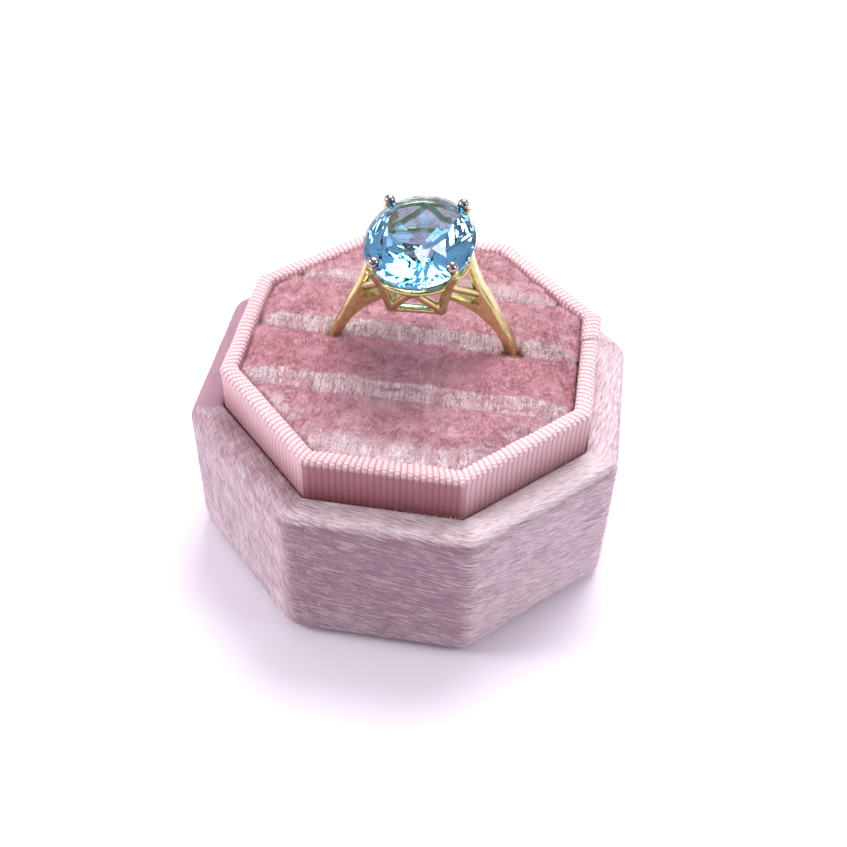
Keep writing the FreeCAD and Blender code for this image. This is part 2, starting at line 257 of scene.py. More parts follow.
def wound(name, path, radii, columns, flat_share):
    """A closed profile carried round the octagon.

    Gives the object and, for each vertex, its turns, its distance along the profile and its row."""
    rows = len(path)
    turns = np.arange(columns) * 8 / columns
    points = np.zeros((rows, columns, 3))
    for row, (half, z) in enumerate(path):
        x, y = around(turns, half, radii[row], flat_share)
        points[row] = np.stack([x, y, np.full(columns, z)], axis=1)
    index = np.arange(rows * columns).reshape(rows, columns)
    right, up = np.roll(index, -1, axis=1), np.roll(index, -1, axis=0)
    corner = np.roll(up, -1, axis=1)
    faces = np.stack([index, right, corner, up], axis=-1).reshape(-1, 4)
    obj = make_object(name, points.reshape(-1, 3), faces)
    step = np.linalg.norm(np.diff(path, axis=0), axis=1)
    run = np.concatenate([[0], np.cumsum(step)])
    return obj, np.tile(turns, rows), np.repeat(run, columns), np.repeat(np.arange(rows), columns)


NAP_SUNK = 0.08
NAP_OFF_TABLE = 0.05


def nap(name, host, count, length, width, lean, chance, seed, spread):
    """Fibres on a host's surface, each a thin closed spike that leans as the cloth was brushed.

    lean gives, for roots and their normals, which way each fibre goes; chance is a weight per vertex."""
    mesh = host.data
    mesh.calc_loop_triangles()
    corners = np.zeros(len(mesh.loop_triangles) * 3, np.int32)
    mesh.loop_triangles.foreach_get("vertices", corners)
    corners = corners.reshape(-1, 3)
    points, facing = points_of(host), normals_of(host)
    edges = points[corners[:, 1:]] - points[corners[:, :1]]
    area = np.linalg.norm(np.cross(edges[:, 0], edges[:, 1]), axis=1)
    odds = area * chance[corners].mean(axis=1)
    rng = np.random.default_rng(seed)
    chosen = corners[rng.choice(len(corners), count, p=odds / odds.sum())]
    part = rng.dirichlet((1, 1, 1), count)[:, :, None]
    root = (points[chosen] * part).sum(axis=1)
    normal = (facing[chosen] * part).sum(axis=1)
    way = lean(root, normal) + rng.normal(size=(count, 3)) * spread
    way /= np.linalg.norm(way, axis=1)[:, None]
    across = np.cross(way, normal + (0.01, 0.02, 0.03))
    across /= np.linalg.norm(across, axis=1)[:, None]
    third = np.cross(way, across)
    thick = width * rng.uniform(0.7, 1.3, (count, 1))
    base = root - normal * NAP_SUNK
    tip = base + way * length * rng.uniform(0.6, 1.3, (count, 1))
    tip[:, 2] = np.maximum(tip[:, 2], NAP_OFF_TABLE)
    spikes = np.stack([base + across * thick, base - across * thick, base + third * thick * 0.8, tip],
                      axis=1)
    pattern = np.array([[0, 1, 3], [1, 2, 3], [2, 0, 3], [0, 2, 1]])
    faces = (pattern[None] + 4 * np.arange(count)[:, None, None]).reshape(-1, 3)
    obj = make_object(name, spikes.reshape(-1, 3), faces, smooth=False)
    return obj, root, chosen, part


def carried(values, chosen, part):
    """A host's per-vertex values at its fibres' roots, once for each of a fibre's four corners."""
    return np.repeat((values[chosen] * part[:, :, 0]).sum(axis=1), 4)


# --- The velvet round the outside --------------------------------------------------------------
BOX_HALF, UNDER_Z, LEDGE_Z = reach_of("outer_velvet")
COLLAR_HALF, COLLAR_FOOT, COLLAR_TOP = reach_of("ribbon_trim")
VELVET_COLUMNS = 608
VELVET_FLAT = 0.905  # share of each side that is flat, the rest going round the corner
SIDE_LENGTH = 20.71
RIM_SHADE_Z, RIM_SHADE_WIDTH = 18.7, 0.45
TURN_IN_HALF, TAIL_Z = 18.0, 8.0  # where the velvet ends, under the box and behind the collar
BEHIND_COLLAR = COLLAR_HALF + 0.12
BOARD_LOW, BOARD_HIGH, BOARD_OUT, BOARD_IN = 1.35, 19.15, 24.1, 21.95  # the greyboard that it wraps

velvet_corners = [
    (TURN_IN_HALF, UNDER_Z, 0.0, 1.4),
    (BOX_HALF, UNDER_Z, 1.3, 0.27),
    (BOX_HALF, LEDGE_Z, 1.7, 0.27),
    (BEHIND_COLLAR, LEDGE_Z - 0.05, 0.5, 0.27),
    (BEHIND_COLLAR, TAIL_Z, 0.0, 2.0),
    (BOARD_IN, TAIL_Z, 0.0, 2.0),
    (BOARD_IN, BOARD_HIGH, 0.3, 2.0),
    (BOARD_OUT, BOARD_HIGH, 0.3, 2.0),
    (BOARD_OUT, BOARD_LOW, 0.3, 2.0),
    (TURN_IN_HALF, BOARD_LOW, 0.0, 1.4),
]
velvet_path = soft_path(velvet_corners)
velvet_radii = 0.3 + 2.3 * np.clip((velvet_path[:, 0] - COLLAR_HALF) / 3.5, 0, 1)
outer, turns, run, _ = wound("velvet_wrap", velvet_path, velvet_radii, VELVET_COLUMNS, VELVET_FLAT)
spots = points_of(outer)
half_here = np.repeat(velvet_path[:, 0], VELVET_COLUMNS)
# shown is 1 where the velvet is in the open, and 0 under the box and behind the collar.
shown = ease(half_here, COLLAR_HALF + 0.15, COLLAR_HALF + 0.7) * ease(spots[:, 2], 0.6, 2.0)
inside_start = np.argmax((velvet_path[:, 0] < COLLAR_HALF + 0.2) & (velvet_path[:, 1] < 19.2))
shown *= np.repeat(np.arange(len(velvet_path)) < inside_start, VELVET_COLUMNS)
lift = 0.10 * waves(spots, 9, 1) + 0.05 * waves(spots, 3.2, 2) + 0.03 * waves(spots, 1.1, 3)
rim = ease(spots[:, 2], 18.6, 19.8)
lift += rim * 0.06 * waves(spots, 2.2, 4)
normals = normals_of(outer)
set_points(outer, spots + normals * (lift * shown - 0.03)[:, None])
attach(outer, "lay", np.stack([turns * SIDE_LENGTH, run, spots[:, 2]], axis=1))

side = turns - 0.5 * VELVET_FLAT
# How light each side is painted (painted light and shade for how light falls on it), and how steeply
# brushed it is. The sides run right back, back, left back, left, left front, front, right front, right.
SIDE_LIGHT_WALL = (0.6, 0.5, 0.5, 0.6, 0.46, 0.16, 0.60, 0.6)
SIDE_LIGHT_LEDGE = (0.55, 0.3, 0.0, -0.24, 0.25, 0.64, 0.90, 0.62)
SIDE_STEEP = (0, 0, 0.3, 1, 1, 0, 0, 0)
MAUVE_DARK, MAUVE_LIGHT = tint(166, 131, 146), tint(240, 223, 230)
MAUVE_NAP_LIGHT = tint(244, 229, 235)


def by_side(values, side=side, soft=0.08):
    """One value per side, passing from each to the next across the corner between them."""
    values = np.array(values)
    low = np.floor(side).astype(int) % 8
    share = ease(side - np.floor(side), 0.5 - soft, 0.5 + soft)
    return values[low] * (1 - share) + values[(low + 1) % 8] * share


on_ledge = ease(spots[:, 2], 19.0, 19.8)
# Painted light and shade: each wall and ledge painted lighter or darker for how light falls on its side.
light_and_tone = by_side(SIDE_LIGHT_WALL) * (1 - on_ledge) + by_side(SIDE_LIGHT_LEDGE) * on_ledge
# A painted shadow under the rim; the walls painted lighter towards the foot, as light from the floor.
shadow_under_rim = np.exp(-((spots[:, 2] - RIM_SHADE_Z) / RIM_SHADE_WIDTH) ** 2) * (half_here > 24.5)
light_and_tone = light_and_tone - 0.15 * shadow_under_rim + (0.19 * (1 - ease(spots[:, 2], 0, 10)) - 0.03) * (1 - on_ledge)
attach(outer, "light_and_tone", light_and_tone)
attach(outer, "steep", by_side(SIDE_STEEP) * (1 - 0.6 * on_ledge))


def velvet_paint():
    """Streaks of nap that lie one way or the other, over patches and specks."""
    paint = Paint("outer_velvet", Roughness=0.85, Specular_IOR_Level=0.1, Sheen_Weight=0.12,
                  Sheen_Roughness=0.35, Sheen_Tint=tint(255, 240, 248))
    lay = paint.vector("lay")
    flat_hair, steep_hair = [
        paint.noise(paint.stretched(paint.turned(lay, angle), (0.55, 4.8, 0.2)), 1.0, 3.0, 0.6, 0.4)
        for angle in (0.2, 1.15)]
    steep = paint.share("steep")
    strand = paint.plus(paint.times(flat_hair, paint.maths("SUBTRACT", 1.0, steep)),
                        paint.times(steep_hair, steep))
    patch = paint.noise(lay, 0.35, 3.0, 0.55, 0.5)
    speck = paint.noise(paint.stretched(lay, (2.2, 5.0, 1.0)), 1.0, 2.0, 0.6)
    # Starts from each side's painted light and shade.
    level = paint.share("light_and_tone")
    level = paint.plus(level, paint.spread(strand, 0.32, 0.68, -0.48, 0.42))
    level = paint.plus(level, paint.spread(patch, 0.3, 0.7, -0.12, 0.12))
    level = paint.plus(level, paint.spread(speck, 0.3, 0.7, -0.08, 0.08))
    colour = paint.mix(paint.spread(level, 0.0, 1.0), MAUVE_DARK, MAUVE_LIGHT)
    paint.set(Base_Color=colour, Normal=paint.bump(strand, 0.16))
    return paint


wear(outer, velvet_paint())


def brushed(root, normal):
    """The nap lies along the wall, and down it at the left."""
    round_box = np.stack([-root[:, 1], root[:, 0], 0 * root[:, 0]], 1)
    along = np.cross(normal, (0, 0, 1.0)) * -1 + round_box * 0.02
    along /= np.maximum(np.linalg.norm(along, axis=1), 1e-6)[:, None]
    rising = np.cross(normal, along)
    left = ease(-root[:, 0] - 0.45 * root[:, 1], 12, 19) * (root[:, 2] < 18.8)
    angle = 0.20 + 0.95 * left + 0.20 * waves(root, 6, 41)
    return normal * 0.20 + along * np.cos(angle)[:, None] - rising * np.sin(angle)[:, None]


FIBRES = 70000
FIBRE_LENGTH, FIBRE_WIDTH, FIBRE_SPREAD = 1.0, 0.038, 0.10
nap_outer, root, chosen, part = nap("velvet_wrap_nap", outer, FIBRES, FIBRE_LENGTH, FIBRE_WIDTH, brushed,
                                    shown + 1e-6, 51, FIBRE_SPREAD)
# The fibres carry the velvet's painted light and shade, with random tone.
shade = carried(light_and_tone, chosen, part) + np.repeat(np.random.default_rng(52).normal(-0.05, 0.34, FIBRES), 4)
attach(nap_outer, "shade", np.clip(shade, 0, 1.3))
fibre = Paint("outer_velvet_nap", Roughness=0.7, Specular_IOR_Level=0.15)
fibre.set(Base_Color=fibre.mix(fibre.share("shade"), MAUVE_DARK, MAUVE_NAP_LIGHT))
wear(nap_outer, fibre)
for piece in (outer, nap_outer):
    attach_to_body(piece, "base")
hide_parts("outer_velvet")

# --- The ribbon over the collar ----------------------------------------------------------------
RIBBON_HALF_OUT, RIBBON_HALF_IN = COLLAR_HALF - 0.06, 19.27
COLLAR_BOARD_OUT, COLLAR_BOARD_IN, COLLAR_BOARD_TOP = 20.75, 19.55, 25.2
RIBBON_TAIL_Z = 14.0
RIBS = 25  # on each side
RIB_COLUMNS = 8
RIBBON_FLAT = 0.98
LAP_START, LAP_END, LAP_RISE = 7.74, 7.99, 0.14  # the first two in sides
SEAM_SIDE, SEAM_WIDTH = 17.5, 0.14  # the collar's side, and the dark line at the lap
FOLD_EDGE_Z = 25.05
THREAD_PITCH = 0.36
STITCHES = ((24.72, 0.07, 1.0), (24.42, 0.06, 0.8))  # height, half width, strength

# Corners without a radius are sharp, or only change the spacing.
ribbon_corners = [
    (RIBBON_HALF_OUT, COLLAR_FOOT, 0.0, 1.6),
    (RIBBON_HALF_OUT, 19.0, 0.0, 0.3),
    (RIBBON_HALF_OUT, COLLAR_TOP - 0.06, 0.7, 0.12),
    (RIBBON_HALF_IN, COLLAR_TOP - 0.06, 0.7, 0.3),
    (RIBBON_HALF_IN, 22.0, 0.0, 1.6),
    (RIBBON_HALF_IN, RIBBON_TAIL_Z, 0.0, 1.6),
    (COLLAR_BOARD_IN, RIBBON_TAIL_Z, 0.0, 1.6),
    (COLLAR_BOARD_IN, COLLAR_BOARD_TOP, 0.2, 1.6),
    (COLLAR_BOARD_OUT, COLLAR_BOARD_TOP, 0.2, 1.6),
    (COLLAR_BOARD_OUT, COLLAR_FOOT, 0.0, 1.6),
]
ribbon_path = soft_path(ribbon_corners)
ribbon, turns_r, run_r, row_r = wound("ribbon", ribbon_path, np.full(len(ribbon_path), 0.45),
                                      8 * RIBS * RIB_COLUMNS, RIBBON_FLAT)
spots_r = points_of(ribbon)
outer_rows = np.argmax((ribbon_path[:, 0] > 19.3) & (np.arange(len(ribbon_path)) > 20)
                       & (ribbon_path[:, 1] < 14.1))
phase = turns_r * RIBS + 0.06 * waves(np.stack([turns_r * 17, 0 * turns_r, 0 * turns_r], 1), 5, 11)
share = phase - np.floor(phase)
crest = 1 - np.abs(2 * share - 1) ** 3.2
rib_shown = (row_r < outer_rows) & (row_r > 0)
folded = ease(spots_r[:, 2], 24.5, 25.1)
ribs_lift = (0.075 + 0.10 * folded) * (crest - 0.5) + 0.03 * waves(spots_r, 6, 12)
ribs_lift += 0.10 * np.exp(-((spots_r[:, 2] - FOLD_EDGE_Z) / 0.35) ** 2) * (run_r < 13.5)
lap = ease(turns_r, LAP_START - 0.02, LAP_START + 0.02)
ribs_lift += LAP_RISE * lap * (1 - ease(turns_r, LAP_END - 0.005, LAP_END + 0.005))
set_points(ribbon, spots_r + normals_of(ribbon) * (ribs_lift * rib_shown)[:, None])
attach(ribbon, "lay", np.stack([phase, run_r, np.floor(phase)], axis=1))
attach(ribbon, "crest", crest)
face_side = turns_r - 0.5 * RIBBON_FLAT
fold = ease(spots_r[:, 2], 24.7, 25.2)
down = ease(spots_r[:, 2], 25.2, 19.8)
# Painted light and shade: each side's face and fold lit or darkened for how light falls on it.
FACE_LIGHT = (0.9, 0.8, 0.8, 0.85, 0.74, 0.24, 0.74, 0.95)
FOLD_LIGHT = (1.0, 0.95, 0.9, 0.88, 0.92, 0.84, 0.97, 1.0)
painted_face_light = by_side(FACE_LIGHT, face_side, 0.04)
stitch = sum(strength * np.exp(-((spots_r[:, 2] - height) / width) ** 2)
             for height, width, strength in STITCHES)
seam = np.exp(-(((turns_r - LAP_START - 0.012 * np.sin(run_r * 1.3)) * SEAM_SIDE) / SEAM_WIDTH) ** 2)
# The fold painted lightest, each face painted darker further down it: painted light and shade.
painted_ribbon_light = fold * by_side(FOLD_LIGHT, face_side, 0.3) + (1 - fold) * painted_face_light * (1.16 - 0.62 * down)
attach(ribbon, "light_and_tone", painted_ribbon_light * (1 - 0.35 * np.clip(stitch, 0, 1)) * (1 - 0.6 * seam))


def grosgrain_paint():
    """Ribs, each crossed by threads that change places from rib to rib, with a little fuzz."""
    paint = Paint("ribbon", Roughness=0.6, Specular_IOR_Level=0.25, Sheen_Weight=0.1,
                  Sheen_Roughness=0.4, Sheen_Tint=tint(255, 235, 238))
    lay = paint.vector("lay")
    across = paint.times(paint.node("SeparateXYZ", {0: lay}, output="Y"), 2 * math.pi / THREAD_PITCH)
    swapped = paint.times(paint.node("SeparateXYZ", {0: lay}, output="Z"), math.pi)
    thread = paint.spread(paint.maths("SINE", paint.plus(across, swapped)), -1.0, 1.0)
    fuzz = paint.noise(paint.stretched(lay, (9.0, 7.0, 1.0)), 1.0, 3.0, 0.6)
    # Painted highlight and shade: each rib painted lighter on its crest and darker in its grooves.
    crest_light = paint.share("crest")
    level = paint.plus(paint.times(crest_light, 0.66), paint.spread(fuzz, 0.3, 0.7, -0.2, 0.2))
    level = paint.plus(level, paint.times(thread, 0.36))
    colour = paint.mix(paint.spread(level, 0.0, 1.0), tint(206, 140, 150), tint(251, 223, 229))
    # Then each side's painted light and shade.
    colour = paint.mix(paint.share("light_and_tone"), tint(158, 80, 92), colour)
    relief = paint.plus(paint.times(thread, 1.0), paint.times(fuzz, 0.7))
    paint.set(Base_Color=colour, Normal=paint.bump(relief, 0.05))
    return paint


wear(ribbon, grosgrain_paint())
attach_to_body(ribbon, "base")
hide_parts("ribbon_trim")

# --- The cushion's four rolls ------------------------------------------------------------------
ROLL_HALF, CARD_TOP, ROLL_TOP = reach_of("roll_velvet_mid_front")
CUSHION_HALF, CUSHION_TOP = ROLL_HALF + 0.13, ROLL_TOP - 0.2  # before the cloth fills out
SLOTS_Y, SLOT_HALF = (-9.5, 0.4, 10.3), 0.12
SLOT_MID_Y = SLOTS_Y[1]
ROLL_FRONTS = [-CUSHION_HALF] + [y + SLOT_HALF for y in SLOTS_Y]
ROLL_BACKS = [y - SLOT_HALF for y in SLOTS_Y] + [CUSHION_HALF]
ROLL_NAMES = ("front", "mid_front", "mid_back", "back")
RING_X, RING_Z, BAND_MID = 0.9, 23.0, 10.65  # the ring's centre, and the middle of its band
SIM_GROW = 20.0  # the cloth solver needs pieces of everyday size
SIM_PINNED_BELOW = 22.5
SIM_PRESSURE, SIM_FRAMES = 4.0, 20
PUFF_SIDES, PUFF_TOP_MORE = 0.03, 0.32  # the most that a point may move, and how much more on top
WIDEST_ROUNDING = 2.6
SLOT_ROUNDING, SIDE_ROUNDING, UPRIGHT_ROUNDING = 1.45, 1.15, 0.8
ROLL_VOXEL = 0.42
# Each roll painted lighter or darker: tone, and painted shade darkening the two rolls beside the ring's
# slot.
ROLL_TONE_AND_SHADE = {"front": -0.09, "mid_front": -0.33, "mid_back": -0.14, "back": 0.02}
TUFTS = 22000  # on each roll
TUFT_LENGTH, TUFT_WIDTH, TUFT_SPREAD = 0.5, 0.036, 0.28


def octagon_slice(half, low_y, high_y):
    """Plan of one roll: the octagon between two lines along X."""
    reach = half / math.cos(HALF_TURN)
    angles = [HALF_TURN + k * TURN for k in range(8)]
    plan = [(reach * math.cos(angle), reach * math.sin(angle)) for angle in angles]
    for limit, keep in ((low_y, 1), (high_y, -1)):
        cut = []
        for k, here in enumerate(plan):
            there = plan[(k + 1) % len(plan)]
            inside, next_inside = keep * (here[1] - limit) >= 0, keep * (there[1] - limit) >= 0
            if inside:
                cut.append(here)
            if inside != next_inside:
                share = (limit - here[1]) / (there[1] - here[1])
                cut.append((here[0] + (there[0] - here[0]) * share, limit))
        plan = cut
    clean = []
    for spot in plan:
        if not clean or math.dist(spot, clean[-1]) > 0.3:
            clean.append(spot)
    if math.dist(clean[0], clean[-1]) <= 0.3:
        clean.pop()
    return clean


def block(name, plan, low, high, voxel, radius_of):
    """A prism on the plan, its edges rounded as radius_of says, in even quads."""
    count = len(plan)
    points = [(x, y, low) for x, y in plan] + [(x, y, high) for x, y in plan]
    faces = [list(range(count))[::-1], list(range(count, 2 * count))]
    faces += [[k, (k + 1) % count, count + (k + 1) % count, count + k] for k in range(count)]
    obj = make_object(name, points, faces, smooth=False)
    mesh = obj.data
    weight = mesh.attributes.new("bevel_weight_edge", "FLOAT", "EDGE")
    for edge in mesh.edges:
        ends = [np.array(mesh.vertices[v].co) / MM for v in edge.vertices]
        weight.data[edge.index].value = radius_of(*ends) / WIDEST_ROUNDING
    rounding = obj.modifiers.new("rounding", "BEVEL")
    rounding.limit_method = "WEIGHT"
    rounding.width = WIDEST_ROUNDING * MM
    rounding.segments = 6
    even = obj.modifiers.new("even", "REMESH")
    even.mode = "VOXEL"
    even.voxel_size = voxel * MM
    settle(obj)
    obj.data.shade_smooth()
    return obj


def settle(obj):
    """Apply the object's modifiers."""
    graph = bpy.context.evaluated_depsgraph_get()
    mesh = bpy.data.meshes.new_from_object(obj.evaluated_get(graph))
    old = obj.data
    obj.modifiers.clear()
    obj.data = mesh
    mesh.name = obj.name
    bpy.data.meshes.remove(old)


def roll_radius(first, second):
    if abs(first[2] - second[2]) > 1:
        return UPRIGHT_ROUNDING
    if first[2] < CARD_TOP + 1:
        return 0.0
    along_slot = abs(first[1] - second[1]) < 0.01 and abs(first[1]) < CUSHION_HALF - 0.5
    return SLOT_ROUNDING if along_slot else SIDE_ROUNDING


rolls = [
    block("roll_" + place, octagon_slice(CUSHION_HALF, front, back), CARD_TOP, CUSHION_TOP, ROLL_VOXEL,
          roll_radius)
    for place, front, back in zip(ROLL_NAMES, ROLL_FRONTS, ROLL_BACKS)
]


def puff(pieces, pressure, frames):
    """Blow each closed skin up against its own cloth, at a larger scale, and return where it goes."""
    for piece in pieces:
        set_points(piece, points_of(piece) * SIM_GROW)
        held = piece.vertex_groups.new(name="held")
        low = points_of(piece)[:, 2] < SIM_PINNED_BELOW * SIM_GROW
        held.add(np.nonzero(low)[0].tolist(), 1.0, "REPLACE")
        cloth = piece.modifiers.new("cloth", "CLOTH")
        cloth.settings.quality = 4
        cloth.settings.mass = 0.3
        cloth.settings.tension_stiffness = 12
        cloth.settings.compression_stiffness = 12
        cloth.settings.shear_stiffness = 5
        cloth.settings.bending_stiffness = 0.4
        cloth.settings.use_pressure = True
        cloth.settings.uniform_pressure_force = pressure
        cloth.settings.vertex_group_mass = "held"
        cloth.settings.effector_weights.gravity = 0.0
        cloth.collision_settings.use_collision = False
        cloth.point_cache.frame_start = 1
        cloth.point_cache.frame_end = frames
    scene.frame_start, scene.frame_end = 1, frames
    for number in range(1, frames + 1):
        scene.frame_set(number)
    graph = bpy.context.evaluated_depsgraph_get()
    grown = []
    for piece in pieces:
        result = piece.evaluated_get(graph).data
        flat = np.zeros(len(result.vertices) * 3)
        result.vertices.foreach_get("co", flat)
        grown.append(flat.reshape(-1, 3) / MM / SIM_GROW)
    for piece in pieces:
        piece.modifiers.clear()
        piece.vertex_groups.clear()
        set_points(piece, points_of(piece) / SIM_GROW)
    scene.frame_set(1)
    return grown


for piece, grown in zip(rolls, puff(rolls, SIM_PRESSURE, SIM_FRAMES)):
    still = points_of(piece)
    move = grown - still
    size = np.linalg.norm(move, axis=1)
    room = PUFF_SIDES + PUFF_TOP_MORE * ease(normals_of(piece)[:, 2], 0.3, 0.9)
    set_points(piece, still + move * (np.minimum(size, room) / np.maximum(size, 1e-6))[:, None])


def pile_paint():
    """Short rose pile, with a painted sheen: pale streaks over the front of each roll, by the slots."""
    paint = Paint("cushion_velvet", Roughness=0.9, Specular_IOR_Level=0.1, Sheen_Weight=0.12,
                  Sheen_Roughness=0.4, Sheen_Tint=tint(255, 225, 236))
    spot = paint.vector("place")
    clump = paint.noise(spot, 0.55, 4.0, 0.62, 0.6)
    tuft = paint.noise(paint.stretched(spot, (2.6, 1.9, 1.9)), 1.0, 3.0, 0.65, 0.8)
    speck = paint.noise(paint.stretched(spot, (5.5, 4.0, 4.0)), 1.0, 2.0, 0.6)
    sheen_streak = paint.noise(paint.stretched(spot, (4.2, 0.7, 0.7)), 1.0, 2.0, 0.6, 0.3)
    level = paint.plus(paint.spread(clump, 0.32, 0.68, 0.05, 0.62),
                       paint.spread(tuft, 0.3, 0.7, -0.22, 0.22))
    level = paint.plus(level, paint.spread(speck, 0.3, 0.7, -0.14, 0.14))
    level = paint.plus(level, paint.share("light_and_tone"))
    # Painted highlight: streaked white where the pile faces forward.
    sheen_highlight = paint.times(paint.share("painted_sheen"), paint.spread(sheen_streak, 0.40, 0.60, 0.1, 1.0))
    rose = paint.mix(paint.spread(level, 0.0, 1.0), tint(190, 134, 147), tint(236, 204, 212))
    colour = paint.mix(sheen_highlight, rose, tint(255, 246, 252))
    relief = paint.plus(paint.times(tuft, 0.6), paint.plus(paint.times(speck, 0.5), paint.times(clump, 0.9)))
    paint.set(Base_Color=colour, Normal=paint.bump(relief, 0.22))
    return paint


def tuft_paint():
    """The same rose pile, for its fibres, with its painted sheen."""
    paint = Paint("cushion_velvet_nap", Roughness=0.75, Specular_IOR_Level=0.15)
    rose = paint.mix(paint.share("shade"), tint(202, 148, 160), tint(248, 224, 231))
    paint.set(Base_Color=paint.mix(paint.share("painted_sheen"), rose, tint(255, 250, 254)))
    return paint


def swirled(root, normal):
    """The pile stands up, leans where it was touched, and hangs over the front of each roll."""
    lean_x = 0.75 * waves(root, 5, 61) + 0.3 * waves(root, 1.6, 62)
    lean_y = 0.45 * waves(root, 4, 63) + 0.25 * waves(root, 1.6, 64) - 0.15
    front = ease(-normal[:, 1], 0.22, 0.5)
    way = normal * (1 - 0.75 * front)[:, None] + np.stack([lean_x, lean_y, 0 * lean_x], axis=1)
    return way + np.stack([0 * front, -0.9 * front, 0.1 * front], axis=1)


def part_and_rumple(piece, in_ring_slot):
    """Open the roll where the ring's band passes beside it, and make its top uneven."""
    still = points_of(piece)
    normals = normals_of(piece)
    top = ease(still[:, 2], 20.0, 23.5)
    ring_gap = np.abs(np.hypot(still[:, 0] - RING_X, still[:, 2] - RING_Z) - BAND_MID)
    near = 1 - ease(ring_gap, 0.75, 1.7)
    away = still[:, 1] - SLOT_MID_Y
    push = near * 0.98 * np.exp(-np.maximum(np.abs(away) - 0.1, 0) / 1.1)
    still[:, 1] += np.sign(away) * push * in_ring_slot
    still[:, 2] += near * 0.25 * np.exp(-np.abs(away) / 1.2) * ease(normals[:, 2], 0.2, 0.7)
    wave = 0.13 * waves(still, 7, 21) + 0.06 * waves(still, 2.6, 22)
    wave += 0.045 * waves(still, 0.9, 23) + 0.03 * waves(still, 0.5, 24, 40)
    still += normals * (top * wave * (0.25 + 0.75 * ease(normals[:, 2], 0.0, 0.5)))[:, None]
    set_points(piece, still)
    return still


def painted_sheen_share(still, normals):
    """How much painted highlight the pile gets: over the front of each roll, and along the cushion's front.
    """
    forward = ease(-normals[:, 1], 0.26, 0.72)
    gust = ease(waves(still * (1, 0.4, 0.4), 2.2, 31), -0.9, 0.5)
    brim = ease(-still[:, 1], 15.6, 18.2) * ease(normals[:, 2], 0.1, 0.5)
    sheen_share = np.maximum(forward * (0.65 + 0.35 * gust), brim * (0.35 + 0.6 * gust))
    return sheen_share * ease(still[:, 2], 21.5, 23.5)


def roll_nap(piece, place, above, sheen_share):
    """The fibres of one roll."""
    number = ROLL_NAMES.index(place)
    tufts, root, chosen, part = nap("roll_nap_" + place, piece, TUFTS, TUFT_LENGTH, TUFT_WIDTH, swirled,
                                    above + 1e-6, 60 + number, TUFT_SPREAD)
    rng = np.random.default_rng(70 + number)
    shade = 0.48 + ROLL_TONE_AND_SHADE[place] + 0.18 * waves(root, 2.8, 71) + 0.12 * waves(root, 1.2, 72)
    shade += rng.normal(0, 0.20, len(root))
    attach(tufts, "shade", np.clip(np.repeat(shade, 4), 0, 1))
    # The fibres carry the painted highlight, some more than others.
    lit = np.repeat(0.5 + 0.5 * ease(rng.normal(0, 1, len(root)), -0.8, 0.6), 4)
    attach(tufts, "painted_sheen", carried(sheen_share, chosen, part) * lit)
    return tufts


pile, tufted = pile_paint(), tuft_paint()
for piece, place in zip(rolls, ROLL_NAMES):
    finer = piece.modifiers.new("finer", "SUBSURF")
    finer.levels = 1
    settle(piece)
    still = part_and_rumple(piece, place in ("mid_front", "mid_back"))
    normals = normals_of(piece)
    # A painted highlight where the pile faces forward, standing in for the velvet's sheen.
    sheen_share = painted_sheen_share(still, normals)
    attach(piece, "painted_sheen", sheen_share)
    attach(piece, "light_and_tone", np.full(len(still), ROLL_TONE_AND_SHADE[place]))
    attach(piece, "place", still)
    wear(piece, pile)
    piece.data.shade_smooth()
    above = ease(still[:, 2], 23.8, 24.6) * ease(normals[:, 2], -0.1, 0.3)
    tufts = roll_nap(piece, place, above, sheen_share)
    wear(tufts, tufted)
    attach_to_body(tufts, "insert")
    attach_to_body(piece, "insert")
    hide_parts("roll_velvet_" + place)


# --- The ring ----------------------------------------------------------------------------------
STONE_CLEAR, STONE_DENSITY = (0.22, 0.75, 1.0, 1.0), 105.0


def gold_paint():
    paint = Paint("gold", Metallic=1.0, Roughness=0.22)
    spot = paint.place()
    cast = paint.noise(spot, 1.6, 3.0, 0.55)
    fine = paint.noise(spot, 9.0, 2.0, 0.5)
    colour = paint.mix(paint.spread(cast, 0.3, 0.7), tint(196, 178, 118), tint(216, 206, 156))
    paint.set(Base_Color=colour, Normal=paint.bump(paint.plus(cast, paint.times(fine, 0.3)), 0.02),
              Roughness=paint.spread(fine, 0.2, 0.8, 0.16, 0.3))
    return paint


def silver_paint():
    paint = Paint("claw_metal", Metallic=1.0, Roughness=0.2)
    cast = paint.noise(paint.place(), 2.5, 2.0, 0.5)
    paint.set(Base_Color=paint.mix(cast, tint(146, 130, 130), tint(196, 184, 184)),
              Normal=paint.bump(cast, 0.03))
    return paint


def glass_paint():
    """Clear blue, deeper where the light goes farther through it."""
    paint = Paint("blue_stone", Roughness=0.0, IOR=1.62, Transmission_Weight=1.0)
    veil = paint.noise(paint.place(), 0.5, 2.0, 0.5)
    paint.set(Base_Color=paint.mix(veil, tint(206, 234, 255), tint(228, 246, 255)))
    absorb = paint.tree.nodes.new("ShaderNodeVolumeAbsorption")
    absorb.inputs["Color"].default_value = STONE_CLEAR
    absorb.inputs["Density"].default_value = STONE_DENSITY
    paint.tree.links.new(absorb.outputs[0], paint.tree.nodes["Material Output"].inputs["Volume"])
    return paint


gold = gold_paint()
wear(nodes["ring_shank"], gold)


def cast_copy(node, voxel, passes):
    """A CAD node's shape with its joints run together, as they are in a casting."""
    obj = bpy.data.objects.new(node + "_cast", nodes[node].data.copy())
    scene.collection.objects.link(obj)
    even = obj.modifiers.new("even", "REMESH")
    even.mode = "VOXEL"
    even.voxel_size = voxel * MM
    soft = obj.modifiers.new("soft", "SMOOTH")
    soft.iterations = passes
    soft.factor = 0.5
    settle(obj)
    obj.data.shade_smooth()
    return obj


